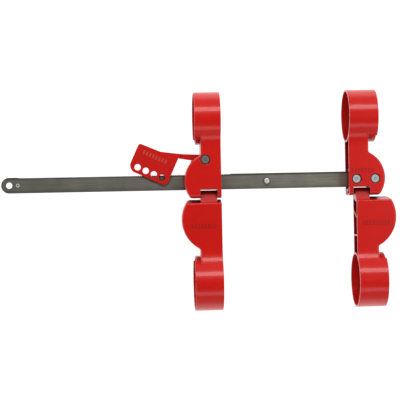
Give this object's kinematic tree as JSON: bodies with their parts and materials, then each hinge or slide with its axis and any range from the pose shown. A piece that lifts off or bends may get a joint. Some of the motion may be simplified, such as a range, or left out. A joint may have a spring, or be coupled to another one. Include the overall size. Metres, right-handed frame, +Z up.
{
  "type": "adjustable wheel clamp",
  "caption": "Lockout wheel clamp: a toothed flat bar with a fixed and a sliding two-part jaw, and a padlock lever that latches the sliding jaw.",
  "frame": {"origin": "under the middle of the clamp's box, on the surface it lies on", "axes": "+X along the bar towards the fixed jaw, +Y from the lower to the upper halves, +Z up from the surface"},
  "size_m": [0.5004, 0.2784, 0.07],
  "materials": {
    "red_housing": "glossy moulded red",
    "red_lever": "glossy red coat on steel plate",
    "bar_steel": "satin, brushed along its length",
    "zinc_plated": "zinc plated, slightly dull",
    "pin_steel": "plain turned steel"
  },
  "bodies": {
    "bar_and_fixed_jaw": {"ratchet_bar": "bar_steel", "end_stop_pin": "pin_steel", "travel_stop_pin": "pin_steel", "fixed_upper_half": "red_housing", "fixed_hinge_pin": "pin_steel", "fixed_hinge_clip": "pin_steel", "fixed_rivet_inner": "zinc_plated", "fixed_rivet_outer": "zinc_plated", "fixed_washer_inner": "zinc_plated", "fixed_washer_outer": "zinc_plated", "fixed_spacer_inner": "pin_steel", "fixed_spacer_outer": "pin_steel"},
    "fixed_lower_jaw": {"fixed_lower_half": "red_housing"},
    "sliding_jaw": {"sliding_upper_half": "red_housing", "sliding_hinge_pin": "pin_steel", "sliding_hinge_clip": "pin_steel", "lever_rivet": "zinc_plated", "lever_washer": "zinc_plated", "lever_spacer": "pin_steel", "lever_disc_spring": "pin_steel"},
    "sliding_lower_jaw": {"sliding_lower_half": "red_housing"},
    "lever": {"lock_lever": "red_lever"}
  },
  "joints": [
    {"name": "jaw_slide", "type": "slide", "parent": "bar_and_fixed_jaw", "child": "sliding_jaw", "axis": [-1, 0, 0], "range_m": [-0.0425, 0.2075]},
    {"name": "lever_turn", "type": "hinge", "parent": "sliding_jaw", "child": "lever", "pos_m": [0.00835, 0.05255, 0.0285], "axis": [0, 0, 1], "range_deg": [0, 24.5]},
    {"name": "sliding_fold", "type": "hinge", "parent": "sliding_jaw", "child": "sliding_lower_jaw", "pos_m": [0.01165, 0.0095, 0.03], "axis": [1, 0, 0], "range_deg": [0, 115]},
    {"name": "fixed_fold", "type": "hinge", "parent": "bar_and_fixed_jaw", "child": "fixed_lower_jaw", "pos_m": [0.20715, 0.0095, 0.03], "axis": [1, 0, 0], "range_deg": [0, 115]}
  ]
}
